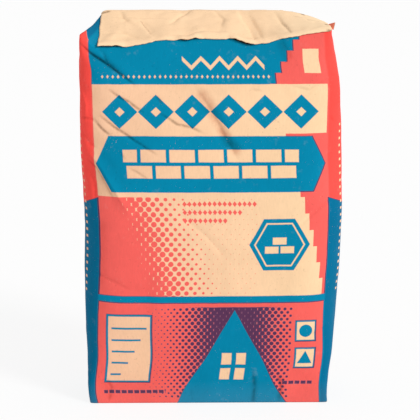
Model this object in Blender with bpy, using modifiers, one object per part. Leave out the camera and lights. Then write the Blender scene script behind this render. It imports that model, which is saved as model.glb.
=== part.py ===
"""A 25 kg paper valve sack of cement, standing on its block bottom. Metres, +Z up, front towards -Y."""

import math

import bmesh
import bpy
from mathutils import Vector

# Driving dimensions of the sack
WIDEST = 0.371          # across the belly
BASE_WIDTH = 0.349      # length of the folded bottom end
TOP_WIDTH = 0.360       # across the front fold of the top end
END_DEPTH = 0.090       # width of the folded ends, front to back
BELLY_DEPTH = 0.122     # thickest place, front to back
FRONT_HEIGHT = 0.530    # floor to the fold between the front and the top end
RIDGE_HEIGHT = 0.562    # floor to the fold between the back and the top end

# Where the outline changes, as shares of the sack's height
BELLY_AT = 0.46
WIDEST_FROM = 0.45
NARROWS_FROM = 0.55
BLOCK_SHARE = 0.32      # the folded ends shape this much of the sack above and below them
SIDE_WAIST = 0.58       # the sides' thickness between the ends, as a share of the ends' own

# How full the filling makes it: higher powers swell sooner from the ends, and keep front and back flat for longer
SWELL_BELOW = 2.3
SWELL_ABOVE = 1.9
FRONT_FLATNESS = 14

# The sack stands a little crooked: its belly leans to the right and its foot to the left
BELLY_SWAY = 0.0042
BELLY_SWAY_SPAN = (0.50, 0.30)      # middle and half length, as shares of the height
FOOT_SWAY = -0.0035
FOOT_SWAY_SPAN = (0.08, 0.08)

# The back ridge is shorter than the front fold, and the whole right end is drawn in towards the valve
LEFT_BACK_SHOULDER = 0.029
RIGHT_BACK_SHOULDER = 0.004
SHOULDER_FROM = 0.94
VALVE_DRAW_IN = 0.012
DRAW_IN_FROM = 0.84
VALVE_END_FROM = 0.095  # from here to the right the ridge sags and the front fold rises
RIDGE_SAG = 0.019
FOLD_RISE = 0.008

# Paper and pasted sheets
SHEET = 0.0005          # thickness of a pasted cover sheet
GAP = 0.0003            # clearance between neighbouring pieces
PATCH_LEFT = -0.155
PATCH_RIGHT = 0.156
PATCH_MARGIN = 0.003    # the bottom sheet stops this far inside the folds
SLEEVE_PLIES = 0.0010   # thickness of the flattened sleeve
SLEEVE_REACH = 0.008    # the sleeve's lip sticks out this far past the corner
SLEEVE_FRONT = -0.034
SLEEVE_BACK = 0.006
FACES_UP = 0.35         # upward share of a face's normal from which it belongs to the top end

# Places of the cage's loops, as shares of half the width, half the depth and the height
ACROSS_LOOPS = (-0.84, -0.45, 0.0, 0.45, 0.84)
DEPTH_LOOPS = (-0.4, 0.4)
HEIGHT_LOOPS = (0.05, 0.18, 0.36, 0.56, 0.76, 0.90, 0.96)
ON_THE_BOX = 0.999      # a cage point this far out lies on a side of the starting cube

# Rounding of the cage, and how sharp its upright folds stay at the ends. They run out towards the belly
ROUNDING_LEVELS = 2
ROUNDING_PULL = 1.05    # the rounding pulls the belly in, so its cage swells this much more
END_FOLD = 0.85
FOLD_RUN_OUT = 4


def smooth(share):
    """0 at 0 and below, 1 at 1 and above, with a level start and end."""
    share = min(max(share, 0.0), 1.0)
    return share * share * (3.0 - 2.0 * share)


def half_width(height):
    """Half the sack's width at a height given as a share: narrow block ends, a wide belly."""
    spread = (WIDEST - BASE_WIDTH) / 2 * math.sin(math.pi / 2 * smooth(height / WIDEST_FROM))
    narrowing = (WIDEST - TOP_WIDTH) / 2 * smooth((height - NARROWS_FROM) / (1.0 - NARROWS_FROM))
    return BASE_WIDTH / 2 + spread - narrowing


def half_depth(height):
    """Half the sack's thickness along its middle at a height given as a share."""
    if height < BELLY_AT:
        swell = 1.0 - (1.0 - height / BELLY_AT) ** SWELL_BELOW
    else:
        swell = 1.0 - ((height - BELLY_AT) / (1.0 - BELLY_AT)) ** SWELL_ABOVE
    return (END_DEPTH + (BELLY_DEPTH - END_DEPTH) * ROUNDING_PULL * swell) / 2


def sway(height):
    """How far the sack leans to the right at a height given as a share."""
    belly_middle, belly_half = BELLY_SWAY_SPAN
    foot_middle, foot_half = FOOT_SWAY_SPAN
    belly = BELLY_SWAY * smooth(1.0 - abs(height - belly_middle) / belly_half)
    foot = FOOT_SWAY * smooth(1.0 - abs(height - foot_middle) / foot_half)
    return belly + foot


def top_height(x, back):
    """Height of the top end at a share of the way to the back: it slopes up to the ridge, less so at the valve."""
    valve_end = max(0.0, (x - VALVE_END_FROM) / (TOP_WIDTH / 2 - VALVE_END_FROM)) ** 2
    front = FRONT_HEIGHT + FOLD_RISE * valve_end
    ridge = RIDGE_HEIGHT - RIDGE_SAG * valve_end
    return front + (ridge - front) * back


def cage_point(across, deep, height):
    """Where the cage's loop crossing (-1..1, -1..1, 0..1) lies on the filled sack."""
    back = (deep + 1.0) / 2
    shoulder = LEFT_BACK_SHOULDER if across < 0 else RIGHT_BACK_SHOULDER
    drawn_in = shoulder * back * smooth((height - SHOULDER_FROM) / (1.0 - SHOULDER_FROM))
    if across > 0:
        drawn_in += VALVE_DRAW_IN * smooth((height - DRAW_IN_FROM) / (1.0 - DRAW_IN_FROM))
    x = across * (half_width(height) - drawn_in) + sway(height)
    block = 1.0 - smooth(height / BLOCK_SHARE) + smooth((height - 1.0 + BLOCK_SHARE) / BLOCK_SHARE)
    side_depth = END_DEPTH / 2 * (SIDE_WAIST + (1.0 - SIDE_WAIST) * block)
    edge = abs(across) ** FRONT_FLATNESS
    y = deep * (half_depth(height) * (1.0 - edge) + side_depth * edge)
    return Vector((x, y, height * top_height(x, back)))


def cut_loop(cage, place, direction):
    """Adds one loop of edges round the cage, where a plane crosses it."""
    everything = cage.verts[:] + cage.edges[:] + cage.faces[:]
    bmesh.ops.bisect_plane(cage, geom=everything, plane_co=place, plane_no=direction)


def material(name, colour, roughness):
    made = bpy.data.materials.new(name)
    made.use_nodes = True
    shader = made.node_tree.nodes["Principled BSDF"]
    shader.inputs["Base Color"].default_value = (*colour, 1.0)
    shader.inputs["Roughness"].default_value = roughness
    shader.inputs["Metallic"].default_value = 0.0
    return made


def add_object(name, mesh, paper, collection):
    made = bpy.data.objects.new(name, mesh)
    made.data.materials.append(paper)
    collection.objects.link(made)
    return made


def mark_folds(cage):
    """Sharp folds round both ends, and upright folds that soften from the ends towards the belly."""
    crease = cage.edges.layers.float.new("crease_edge")
    for edge in cage.edges:
        one, other = (face.normal for face in edge.link_faces)
        at_end = all(abs(v.co.z) > ON_THE_BOX for v in edge.verts)
        upright = all(abs(v.co.x) > ON_THE_BOX and abs(v.co.y) > ON_THE_BOX for v in edge.verts)
        if at_end and abs(one.dot(other)) < 0.5:
            edge[crease] = 1.0
        elif upright:
            end_share = abs(sum(v.co.z for v in edge.verts) / 2)
            edge[crease] = END_FOLD * end_share ** FOLD_RUN_OUT


def build_sack(paper, collection):
    """The filled tube: a cage of loops over a cube, rounded by subdivision between its folds."""
    cage = bmesh.new()
    bmesh.ops.create_cube(cage, size=2.0)
    for share in ACROSS_LOOPS:
        cut_loop(cage, (share, 0, 0), (1, 0, 0))
    for share in DEPTH_LOOPS:
        cut_loop(cage, (0, share, 0), (0, 1, 0))
    for share in HEIGHT_LOOPS:
        cut_loop(cage, (0, 0, 2.0 * share - 1.0), (0, 0, 1))
    mark_folds(cage)
    for vert in cage.verts:
        vert.co = cage_point(vert.co.x, vert.co.y, (vert.co.z + 1.0) / 2)
    mesh = bpy.data.meshes.new("filled_sack")
    cage.to_mesh(mesh)
    cage.free()
    sack = add_object("filled_sack", mesh, paper, collection)
    sack.location.z = SHEET + GAP
    rounding = sack.modifiers.new("rounding", "SUBSURF")
    rounding.levels = rounding.render_levels = ROUNDING_LEVELS
    return sack


def top_of(sack, left, right, front, back):
    """A copy of the sack's top end between four upright planes, as an open sheet one clearance above it."""
    graph = bpy.context.evaluated_depsgraph_get()
    sheet = bmesh.new()
    sheet.from_mesh(bpy.data.meshes.new_from_object(sack.evaluated_get(graph)))
    sheet.transform(sack.matrix_world)
    sheet.normal_update()
    rest = [f for f in sheet.faces if f.normal.z < FACES_UP]
    bmesh.ops.delete(sheet, geom=rest, context="FACES")
    planes = (
        ((left, 0, 0), (-1, 0, 0)),
        ((right, 0, 0), (1, 0, 0)),
        ((0, front, 0), (0, -1, 0)),
        ((0, back, 0), (0, 1, 0)),
    )
    for place, outward in planes:
        everything = sheet.verts[:] + sheet.edges[:] + sheet.faces[:]
        bmesh.ops.bisect_plane(sheet, geom=everything, plane_co=place, plane_no=outward, clear_outer=True)
    sheet.normal_update()
    for vert in sheet.verts:
        vert.co += vert.normal * GAP
    return sheet


def thicken(piece, thickness):
    """Gives an open sheet its thickness on its outer side."""
    plies = piece.modifiers.new("plies", "SOLIDIFY")
    plies.thickness = thickness
    plies.offset = 1.0
    plies.use_even_offset = True


def build_top_patch(sack, paper, collection):
    """The plain sheet pasted over the folded top end."""
    sheet = top_of(sack, PATCH_LEFT, PATCH_RIGHT, -END_DEPTH / 2, END_DEPTH / 2)
    mesh = bpy.data.meshes.new("top_cover_patch")
    sheet.to_mesh(mesh)
    sheet.free()
    thicken(add_object("top_cover_patch", mesh, paper, collection), SHEET)


def build_valve_sleeve(sack, paper, collection):
    """The flattened sleeve of the filling valve, lying on the right corner and reaching past it."""
    sheet = top_of(sack, PATCH_RIGHT + GAP, TOP_WIDTH, SLEEVE_FRONT, SLEEVE_BACK)
    outer_edges = []
    for edge in sheet.edges:
        start, end = (v.co for v in edge.verts)
        runs_back = abs(end.y - start.y) > abs(end.x - start.x)
        if edge.is_boundary and runs_back and min(start.x, end.x) > PATCH_RIGHT + 2 * GAP:
            outer_edges.append(edge)
    grown = bmesh.ops.extrude_edge_only(sheet, edges=outer_edges)["geom"]
    for vert in (g for g in grown if isinstance(g, bmesh.types.BMVert)):
        vert.co.x += SLEEVE_REACH
    mesh = bpy.data.meshes.new("valve_sleeve")
    sheet.to_mesh(mesh)
    sheet.free()
    thicken(add_object("valve_sleeve", mesh, paper, collection), SLEEVE_PLIES)


def build_bottom_patch(paper, collection):
    """The plain sheet pasted over the folded bottom end, on which the sack stands."""
    box = bmesh.new()
    bmesh.ops.create_cube(box, size=1.0)
    length = BASE_WIDTH - 2 * PATCH_MARGIN
    depth = END_DEPTH - 2 * PATCH_MARGIN
    bmesh.ops.scale(box, vec=(length, depth, SHEET), verts=box.verts)
    mesh = bpy.data.meshes.new("bottom_cover_patch")
    box.to_mesh(mesh)
    box.free()
    patch = add_object("bottom_cover_patch", mesh, paper, collection)
    patch.location.z = SHEET / 2


def main():
    for old in list(bpy.data.objects):
        bpy.data.objects.remove(old)
    collection = bpy.data.collections.new("cement_bag")
    bpy.context.scene.collection.children.link(collection)

    printed = material("printed_kraft", (0.80, 0.42, 0.30), 0.55)
    plain = material("plain_kraft", (0.93, 0.66, 0.42), 0.65)

    sack = build_sack(printed, collection)
    bpy.context.view_layer.update()
    build_top_patch(sack, plain, collection)
    build_valve_sleeve(sack, plain, collection)
    build_bottom_patch(plain, collection)


main()
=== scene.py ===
"""The looks of a 25 kg paper valve sack of cement, made round its fixed solids.

All sizes are in metres, +Z up and the front towards -Y, unless a comment says otherwise.
"""

import math

import bmesh
import bpy
import numpy as np
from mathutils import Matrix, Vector, noise
from mathutils.bvhtree import BVHTree


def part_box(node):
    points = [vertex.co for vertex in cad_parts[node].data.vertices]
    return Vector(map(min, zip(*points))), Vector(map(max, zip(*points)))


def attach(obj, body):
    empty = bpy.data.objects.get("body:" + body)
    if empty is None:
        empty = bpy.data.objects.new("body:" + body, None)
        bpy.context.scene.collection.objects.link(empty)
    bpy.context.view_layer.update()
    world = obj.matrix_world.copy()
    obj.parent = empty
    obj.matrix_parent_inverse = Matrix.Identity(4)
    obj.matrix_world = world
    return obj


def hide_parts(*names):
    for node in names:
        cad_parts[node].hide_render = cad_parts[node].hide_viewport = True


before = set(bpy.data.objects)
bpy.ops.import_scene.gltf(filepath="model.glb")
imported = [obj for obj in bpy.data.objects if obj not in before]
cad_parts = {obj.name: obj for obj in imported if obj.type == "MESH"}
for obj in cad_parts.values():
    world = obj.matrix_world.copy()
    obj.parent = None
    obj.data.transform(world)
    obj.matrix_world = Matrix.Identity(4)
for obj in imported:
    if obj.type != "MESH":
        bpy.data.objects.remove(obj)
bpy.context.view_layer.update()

# The filled sack is a tube of kraft paper with both ends folded square and pasted shut, blown full of cement
# through its valve. Its girth is the same at every height, so it bulges in the middle and keeps the rectangle
# of the folded ends at the top and the bottom. Height shares run from 0 at the foot to 1 at the top.
sack_low, sack_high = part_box("filled_sack")
END_LONG = 0.349
END_WIDE = 0.090
TOP_LONG = 0.360
GIRTH = 2 * (END_LONG + END_WIDE)
BLOWN_WIDER = 0.004
BLOWN_THICKER = 0.0052
WIDEST = sack_high.x - sack_low.x - BLOWN_WIDER
THICKEST = sack_high.y - sack_low.y - BLOWN_THICKER
FLOOR_GAP = sack_low.z
RIDGE = sack_high.z - sack_low.z
WIDEST_AT = 0.45
NARROWS_FROM = 0.55
BELLY_AT = 0.36
BELLY_SWAY = 0.0055
BELLY_SWAY_AT = 0.48
FOOT_SWAY = -0.0045
FOOT_SWAY_AT = 0.05
END_SQUARENESS = 80.0
CORNERS_FROM = 0.93
CELLS_LONG = 66
CELLS_WIDE = 17
CELLS_HIGH = 101

# The valve end at the right is drawn in and sags. The left end of the ridge stops short, in an ear.
VALVE_FROM = 0.095
VALVE_SAG = 0.0238
VALVE_DRAWN_IN = 0.014
DRAWN_IN_FROM = 0.84
EAR_SHOULDER = 0.029
EAR_FROM = 0.94

# Height of the fold over the front panel, from the left corner to the valve corner: (x, height)
FRONT_FOLD = (
    (-0.182, 0.5365),
    (-0.168, 0.529),
    (-0.158, 0.520),
    (-0.119, 0.5208),
    (-0.097, 0.525),
    (-0.081, 0.528),
    (-0.060, 0.532),
    (-0.046, 0.530),
    (-0.034, 0.528),
    (-0.022, 0.531),
    (-0.010, 0.5325),
    (0.026, 0.532),
    (0.036, 0.528),
    (0.048, 0.5232),
    (0.055, 0.5222),
    (0.066, 0.5258),
    (0.080, 0.5275),
    (0.098, 0.532),
    (0.110, 0.534),
    (0.131, 0.539),
    (0.170, 0.544),
)


def eased(share):
    """0 at 0 and below, 1 at 1 and above, with a level start and end. Takes numbers or arrays."""
    share = np.clip(share, 0.0, 1.0)
    return share * share * (3.0 - 2.0 * share)


def sack_half_width(height):
    swell = (WIDEST - END_LONG) / 2 * np.sin(np.pi / 2 * eased(height / WIDEST_AT))
    return END_LONG / 2 + swell - (WIDEST - TOP_LONG) / 2 * eased((height - NARROWS_FROM) / 0.45)


def sack_half_depth(height):
    below = eased(height / BELLY_AT) ** 0.6
    above = 1.0 - eased((height - BELLY_AT) / (1.0 - BELLY_AT)) ** 1.4
    return (END_WIDE + (THICKEST - END_WIDE) * np.where(height < BELLY_AT, below, above)) / 2


def fold_height(x):
    return np.interp(x, [place[0] for place in FRONT_FOLD], [place[1] for place in FRONT_FOLD])


def ridge_height(x):
    return RIDGE - VALVE_SAG * np.clip((x - VALVE_FROM) / (TOP_LONG / 2 - VALVE_FROM), 0.0, 1.0) ** 1.7


def top_height(x, back):
    """Height of the top end at x, from the fold over the front (back = 0) to the ridge (back = 1)."""
    return fold_height(x) * (1.0 - back) + ridge_height(x) * back


def draw_in(x, back, height):
    """Narrows the sack at the ear and the valve end, near the top only, and sways its belly and its foot."""
    shoulder = EAR_SHOULDER * back * eased((height - EAR_FROM) / (1.0 - EAR_FROM))
    valve = VALVE_DRAWN_IN * eased((height - DRAWN_IN_FROM) / (1.0 - DRAWN_IN_FROM))
    belly = BELLY_SWAY * eased(1.0 - abs(height - BELLY_SWAY_AT) / 0.28)
    foot = FOOT_SWAY * eased(1.0 - abs(height - FOOT_SWAY_AT) / 0.10)
    return x + belly + foot + np.where(x < 0, shoulder, -valve) * np.abs(x) / sack_half_width(height)


# Places along the flat sheet, from the front panel's left fold round to it again
FOLDS = np.array([0, END_LONG, END_LONG + END_WIDE, 2 * END_LONG + END_WIDE, GIRTH])


def square_outline(places):
    """Where places along the flat sheet lie on the outline of a square from -1 to 1, front first."""
    return np.interp(places, FOLDS, [-1, 1, 1, -1, -1]), np.interp(places, FOLDS, [-1, -1, 1, 1, -1])


def rounded_outline(places, height, squareness):
    across, deep = square_outline(places)
    pull = (np.abs(across) ** squareness + np.abs(deep) ** squareness) ** (-1.0 / squareness)
    return across * pull * sack_half_width(height), deep * pull * sack_half_depth(height)


def lengths_along(x, y):
    return np.concatenate([[0], np.cumsum(np.hypot(np.diff(x), np.diff(y)))])


def sack_outline(places, height):
    """The sack's outline at a height share, at places of the flat sheet. Its squareness keeps the girth,
    apart from the sharp corners of the top end."""
    fine = np.linspace(0, GIRTH, 1601)
    low, high = 1.6, END_SQUARENESS
    for _ in range(20):
        squareness = (low + high) / 2
        too_short = lengths_along(*rounded_outline(fine, height, squareness))[-1] < GIRTH
        low, high = (squareness, high) if too_short else (low, squareness)
    sharp = float(eased((height - CORNERS_FROM) / (1.0 - CORNERS_FROM)))
    squareness += (END_SQUARENESS - squareness) * sharp
    x, y = rounded_outline(fine, height, squareness)
    length = lengths_along(x, y)
    length *= GIRTH / length[-1]
    on_front = fine < END_LONG
    centre = np.interp(0.0, x[on_front], length[on_front])
    wrapped = (places - END_LONG / 2 + centre) % GIRTH
    return np.interp(wrapped, length, x), np.interp(wrapped, length, y)


ring = 2 * (CELLS_LONG + CELLS_WIDE)
fold_steps = np.cumsum([0, CELLS_LONG, CELLS_WIDE, CELLS_LONG, CELLS_WIDE])
ring_places = np.interp(np.arange(ring + 1), fold_steps, FOLDS)
ring_across, ring_deep = square_outline(ring_places)
ring_back = (ring_deep + 1) / 2
back_middle = CELLS_LONG + CELLS_WIDE + CELLS_LONG // 2

# The tube: its points on the filled sack, and on the sheet as it was cut and folded to a plain box
PAPER_SPARE = 1.0024
points = []
cut_points = []
for level in range(CELLS_HIGH + 1):
    height = level / CELLS_HIGH
    x, y = sack_outline(ring_places[:-1], height)
    x = draw_in(x, ring_back[:-1], height)
    points += zip(x, y, height * top_height(x, ring_back[:-1]))
    box_x, box_y = ring_across[:-1] * END_LONG / 2, ring_deep[:-1] * END_WIDE / 2
    cut_points += zip(box_x, box_y, height * top_height(box_x, ring_back[:-1]) * PAPER_SPARE)

# The print's place on each corner of each face: across from the front's middle, and up from the bottom fold
faces = []
print_places = []
for level in range(CELLS_HIGH):
    for i in range(ring):
        a, b = level * ring + i, level * ring + (i + 1) % ring
        faces.append((a, b, b + ring, a + ring))
        turn = GIRTH if i >= back_middle else 0.0
        across = [ring_places[i + k] - END_LONG / 2 - turn for k in (0, 1, 1, 0)]
        up = [points[corner][2] for corner in faces[-1]]
        print_places.append(list(zip(across, up)))


def end_corner(level, first_inner, i, j):
    """The vertex of an end panel's grid at column i, row j: the tube's own vertex on the panel's edge."""
    start = level * ring
    if j == 0:
        return start + i
    if j == CELLS_WIDE:
        return start + fold_steps[2] + CELLS_LONG - i
    if i == 0:
        return start + ring - j
    if i == CELLS_LONG:
        return start + fold_steps[1] + j
    return first_inner + (j - 1) * (CELLS_LONG - 1) + i - 1


for level in (0, CELLS_HIGH):
    height = level / CELLS_HIGH
    first_inner = len(points)
    for j in range(1, CELLS_WIDE):
        across = np.arange(1, CELLS_LONG) * 2 / CELLS_LONG - 1
        back = j / CELLS_WIDE
        x = draw_in(across * sack_half_width(height), back, height)
        y = np.full_like(x, (back - 0.5) * END_WIDE)
        points += zip(x, y, height * top_height(x, back))
        box_x = across * END_LONG / 2
        cut_points += zip(box_x, y, height * top_height(box_x, back) * PAPER_SPARE)
    for j in range(CELLS_WIDE):
        for i in range(CELLS_LONG):
            cell = [(i, j), (i + 1, j), (i + 1, j + 1), (i, j + 1)]
            cell = cell if level else cell[::-1]
            faces.append([int(end_corner(level, first_inner, *corner)) for corner in cell])
            across = [(column / CELLS_LONG - 0.5) * END_LONG for column, _ in cell]
            beyond = [row / CELLS_WIDE * END_WIDE for _, row in cell]
            if level:
                up = [float(fold_height(a)) + b for a, b in zip(across, beyond)]
            else:
                up = [-b for b in beyond]
            print_places.append(list(zip(across, up)))


def new_piece(name, places, faces):
    """A new object of a mesh's points and faces, shaded smooth, and that mesh."""
    mesh = bpy.data.meshes.new(name)
    mesh.from_pydata([tuple(map(float, place)) for place in places], [], faces)
    mesh.polygons.foreach_set("use_smooth", [True] * len(mesh.polygons))
    piece = bpy.data.objects.new(name, mesh)
    bpy.context.collection.objects.link(piece)
    return piece, mesh


sack, sack_mesh = new_piece("printed_sack", points, faces)
sheet_map = sack_mesh.uv_layers.new(name="sheet")
MAP_MIDDLE = 0.5
MAP_FLOOR = 0.2
for face, places in zip(sack_mesh.polygons, print_places):
    for loop, (across, up) in zip(face.loop_indices, places):
        sheet_map.data[loop].uv = (across + MAP_MIDDLE, up + MAP_FLOOR)

# Filling: the folds of both ends are held, and the tube's paper, cut a little larger than the sack's outline,
# is blown up from inside. Where it has length to spare it buckles, as filled sacks do below their ends.
CUT_LARGER = 1.008
FILL_FRAMES = 24
UNEVEN = 0.0012
sack.shape_key_add(name="outline")
cut = sack.shape_key_add(name="sheet as cut")
for vertex, place in zip(cut.data, cut_points):
    vertex.co = Vector(place) * CUT_LARGER
for vertex, start in zip(sack_mesh.shape_keys.key_blocks["outline"].data, points):
    place = Vector(start)
    if 0.01 < place.z < 0.5:
        outward = Vector((0, -1 if place.y < 0 else 1, 0))
        vertex.co = place + outward * noise.noise(place * 16.0) * UNEVEN
WALL_GRIP = 0.02
FOOT_GRIP = 1.0
TOP_FOLD_GRIP = 0.9
TOP_END_GRIP = 0.35
held = sack.vertex_groups.new(name="held")
top_inner = len(points) - (CELLS_LONG - 1) * (CELLS_WIDE - 1)
for index, place in enumerate(points):
    grip = WALL_GRIP
    if place[2] < 0.0005:
        grip = FOOT_GRIP
    elif CELLS_HIGH * ring <= index < (CELLS_HIGH + 1) * ring:
        grip = TOP_FOLD_GRIP
    elif index >= top_inner:
        grip = TOP_END_GRIP
    held.add([index], grip, "REPLACE")

filled_places = [Vector(place) for place in points]
cloth = sack.modifiers.new("filling", "CLOTH")
paper = cloth.settings
paper.quality = 8
paper.mass = 0.05
paper.tension_stiffness = 60
paper.compression_stiffness = 60
paper.shear_stiffness = 40
paper.bending_stiffness = 3
paper.tension_damping = 25
paper.compression_damping = 25
paper.shear_damping = 25
paper.air_damping = 4
paper.effector_weights.gravity = 0
paper.use_pressure = True
paper.uniform_pressure_force = 4
paper.vertex_group_mass = "held"
paper.pin_stiffness = 6
paper.rest_shape_key = cut
cloth.collision_settings.use_collision = False
cloth.point_cache.frame_start = 1
cloth.point_cache.frame_end = FILL_FRAMES
for step in range(1, FILL_FRAMES + 1):
    bpy.context.scene.frame_set(step)
graph = bpy.context.evaluated_depsgraph_get()
filled_places = [vertex.co.copy() for vertex in sack.evaluated_get(graph).data.vertices]
sack.modifiers.clear()
bpy.context.scene.frame_set(1)
sack.shape_key_clear()
for vertex, place in zip(sack_mesh.vertices, filled_places):
    vertex.co = place

# The end folds stay crisp while the cells between them are split once more
creased = bmesh.new()
creased.from_mesh(sack_mesh)
crease = creased.edges.layers.float.new("crease_edge")
for edge in creased.edges:
    one, other = (vertex.index for vertex in edge.verts)
    for level in (0, CELLS_HIGH):
        if level * ring <= min(one, other) and max(one, other) < (level + 1) * ring:
            edge[crease] = 0.7
creased.to_mesh(sack_mesh)
creased.free()
splitting = sack.modifiers.new("finer paper", "SUBSURF")
splitting.levels = splitting.render_levels = 1
graph = bpy.context.evaluated_depsgraph_get()
split_mesh = bpy.data.meshes.new_from_object(sack.evaluated_get(graph))
sack.modifiers.clear()
sack.data = split_mesh
bpy.data.meshes.remove(sack_mesh)
split_mesh.name = "printed_sack"

# Creases that handling left in the front panel: a line of (x, height), its depth and half width in
# millimetres, how far the paper steps from one side of the line to the other, and how dark the fold is
# painted, with painted shade and dirt
FRONT_CREASES = (
    (
        ((-0.176, 0.524), (-0.163, 0.512), (-0.148, 0.502), (-0.133, 0.491), (-0.106, 0.471)),
        3.0, 7, -3.2, 1.0,
    ),
    (
        ((-0.138, 0.462), (-0.125, 0.452), (-0.114, 0.447), (-0.103, 0.439), (-0.093, 0.432)),
        1.1, 5, -1.3, 0.8,
    ),
    (((-0.152, 0.519), (-0.144, 0.508), (-0.141, 0.498), (-0.125, 0.486)), 1.3, 6, 1.3, 0.7),
    (((-0.179, 0.423), (-0.165, 0.421), (-0.156, 0.417)), 1.0, 5, 1.0, 0.4),
    (((-0.160, 0.420), (-0.150, 0.408), (-0.138, 0.399)), 1.1, 5, -1.0, 0.8),
    (
        ((-0.152, 0.426), (-0.133, 0.411), (-0.118, 0.402), (-0.104, 0.392), (-0.076, 0.374)),
        1.3, 6, -1.2, 0.8,
    ),
    (((-0.074, 0.454), (-0.067, 0.444)), 0.7, 4, -0.5, 0.6),
    (
        ((-0.070, 0.430), (-0.059, 0.424), (-0.046, 0.415), (-0.027, 0.411), (-0.010, 0.403)),
        1.0, 5, -0.9, 0.7,
    ),
    (
        ((-0.175, 0.378), (-0.159, 0.363), (-0.149, 0.348), (-0.131, 0.317), (-0.116, 0.290)),
        -3.2, 15, -1.0, 0.0,
    ),
    (((-0.171, 0.364), (-0.158, 0.353), (-0.149, 0.336), (-0.137, 0.313)), 1.3, 6, -1.4, 0.6),
    (((-0.172, 0.350), (-0.164, 0.330), (-0.163, 0.300)), 1.4, 9, 1.6, 0.2),
    (((-0.177, 0.462), (-0.170, 0.440), (-0.172, 0.415)), -1.4, 10, 1.2, 0.0),
    (((-0.178, 0.400), (-0.168, 0.386), (-0.158, 0.380)), 1.2, 7, 1.2, 0.3),
    (((-0.126, 0.377), (-0.119, 0.367)), 0.6, 5, -0.5, 0.3),
    (((-0.111, 0.353), (-0.100, 0.347), (-0.087, 0.338)), 0.8, 5, -0.7, 0.4),
    (((-0.018, 0.463), (-0.002, 0.439), (0.014, 0.411), (0.025, 0.390), (0.038, 0.367)), 2.0, 14, -0.8, 0.1),
    (((0.055, 0.464), (0.071, 0.460)), 0.6, 5, 0.5, 0.3),
    (((0.096, 0.529), (0.104, 0.516), (0.109, 0.503)), 1.2, 8, 0.9, 0.2),
    (((0.165, 0.480), (0.135, 0.462), (0.110, 0.468)), 0.9, 8, 0.9, 0.1),
    (((0.165, 0.425), (0.172, 0.417)), 0.9, 5, 0.8, 0.3),
    (((0.176, 0.310), (0.160, 0.300), (0.128, 0.272)), 1.1, 8, -1.1, 0.1),
    (((-0.040, 0.285), (-0.005, 0.254), (0.020, 0.226)), 0.9, 10, 1.0, 0.1),
    (((-0.168, 0.200), (-0.140, 0.190), (-0.113, 0.177)), 1.0, 8, 0.8, 0.3),
    (((0.166, 0.120), (0.140, 0.105)), 1.0, 7, 0.7, 0.1),
    (((0.060, 0.055), (0.064, 0.029), (0.063, 0.002)), 1.6, 7, 0.9, 0.5),
    (((0.098, 0.045), (0.103, 0.023), (0.101, 0.002)), 1.6, 7, -0.9, 0.5),
    (((-0.152, 0.039), (-0.144, 0.026), (-0.148, 0.004)), 1.3, 7, 0.8, 0.5),
    (((-0.030, 0.022), (-0.026, 0.002)), 1.0, 6, 0.6, 0.2),
)
# The same for the back panel, which was handled less
BACK_CREASES = (
    (((-0.165, 0.505), (-0.135, 0.482), (-0.112, 0.470)), 1.6, 7, 1.6, 0.6),
    (((0.170, 0.498), (0.146, 0.488), (0.118, 0.462)), 1.4, 7, -1.4, 0.5),
    (((0.150, 0.400), (0.118, 0.381), (0.095, 0.352)), 1.0, 8, 1.0, 0.3),
    (((-0.060, 0.440), (-0.030, 0.412), (-0.022, 0.380)), 0.9, 10, 0.8, 0.2),
    (((-0.168, 0.300), (-0.140, 0.262), (-0.128, 0.225)), 1.2, 9, -1.2, 0.3),
    (((0.100, 0.050), (0.096, 0.026), (0.099, 0.003)), 1.3, 7, 0.9, 0.4),
    (((-0.080, 0.044), (-0.085, 0.022), (-0.082, 0.003)), 1.3, 7, -0.9, 0.4),
)
CREASE_REACH = 0.0045
SIDE_FOLD_DEPTH = 1.1
CRUMPLES = ((9.0, 1.4), (21.0, 0.85), (46.0, 0.45))
LEFT_EDGE_CRUMPLED = 1.2

# Painted shade at dents, folds and the left edge, and smudges where hands and wet cement touched the front:
# a line of (x, height), its half width in metres, its darkness
SHADE_AND_SMUDGES = (
    (((-0.010, 0.455), (0.000, 0.437), (0.010, 0.418)), 0.013, 0.75),
    (((0.012, 0.415), (0.024, 0.392), (0.036, 0.380)), 0.012, 0.90),
    (((0.098, 0.524), (0.106, 0.506)), 0.010, 0.40),
    (((-0.160, 0.508), (-0.135, 0.493)), 0.009, 0.40),
    (((0.063, 0.040), (0.063, 0.004)), 0.007, 0.50),
    (((0.103, 0.036), (0.101, 0.004)), 0.007, 0.50),
    (((-0.150, 0.034), (-0.147, 0.012)), 0.009, 0.35),
    (((-0.152, 0.270), (-0.154, 0.190)), 0.010, 0.20),
)


def near_line(places, line):
    """Distance from a line of short stretches, the side of it (-1 or 1), and a fading towards its ends."""
    best = np.full(len(places), 9.0)
    side = np.zeros(len(places))
    along = np.zeros(len(places))
    line = np.array(line)
    starts = lengths_along(line[:, 0], line[:, 1])
    for start, end, run in zip(line[:-1], line[1:], starts):
        step = end - start
        share = np.clip(((places - start) @ step) / (step @ step), 0, 1)
        away = places - (start + share[:, None] * step)
        distance = np.hypot(away[:, 0], away[:, 1])
        nearer = distance < best
        best = np.where(nearer, distance, best)
        side = np.where(nearer, np.sign(step[0] * away[:, 1] - step[1] * away[:, 0]), side)
        along = np.where(nearer, run + share * math.hypot(*step), along)
    return best, side, np.sin(np.pi * np.clip(along / starts[-1], 0.02, 0.98)) ** 0.5


def crease_depth(places, line, depth, half_width, step):
    """Depth in metres of one crease: a sharp groove whose two sides stand at unlike heights."""
    distance, side, fade = near_line(places, line)
    groove = np.clip(1.0 - distance * 1000 / half_width, 0, 1) ** 2
    leaning = side * np.clip(distance * 1000 / 1.3, 0, 1)
    stepped = leaning * np.clip(1.0 - distance * 1000 / (half_width * 3.0), 0, 1) ** 1.5
    return fade * (depth * groove + step / 2 * stepped) / 1000


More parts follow.
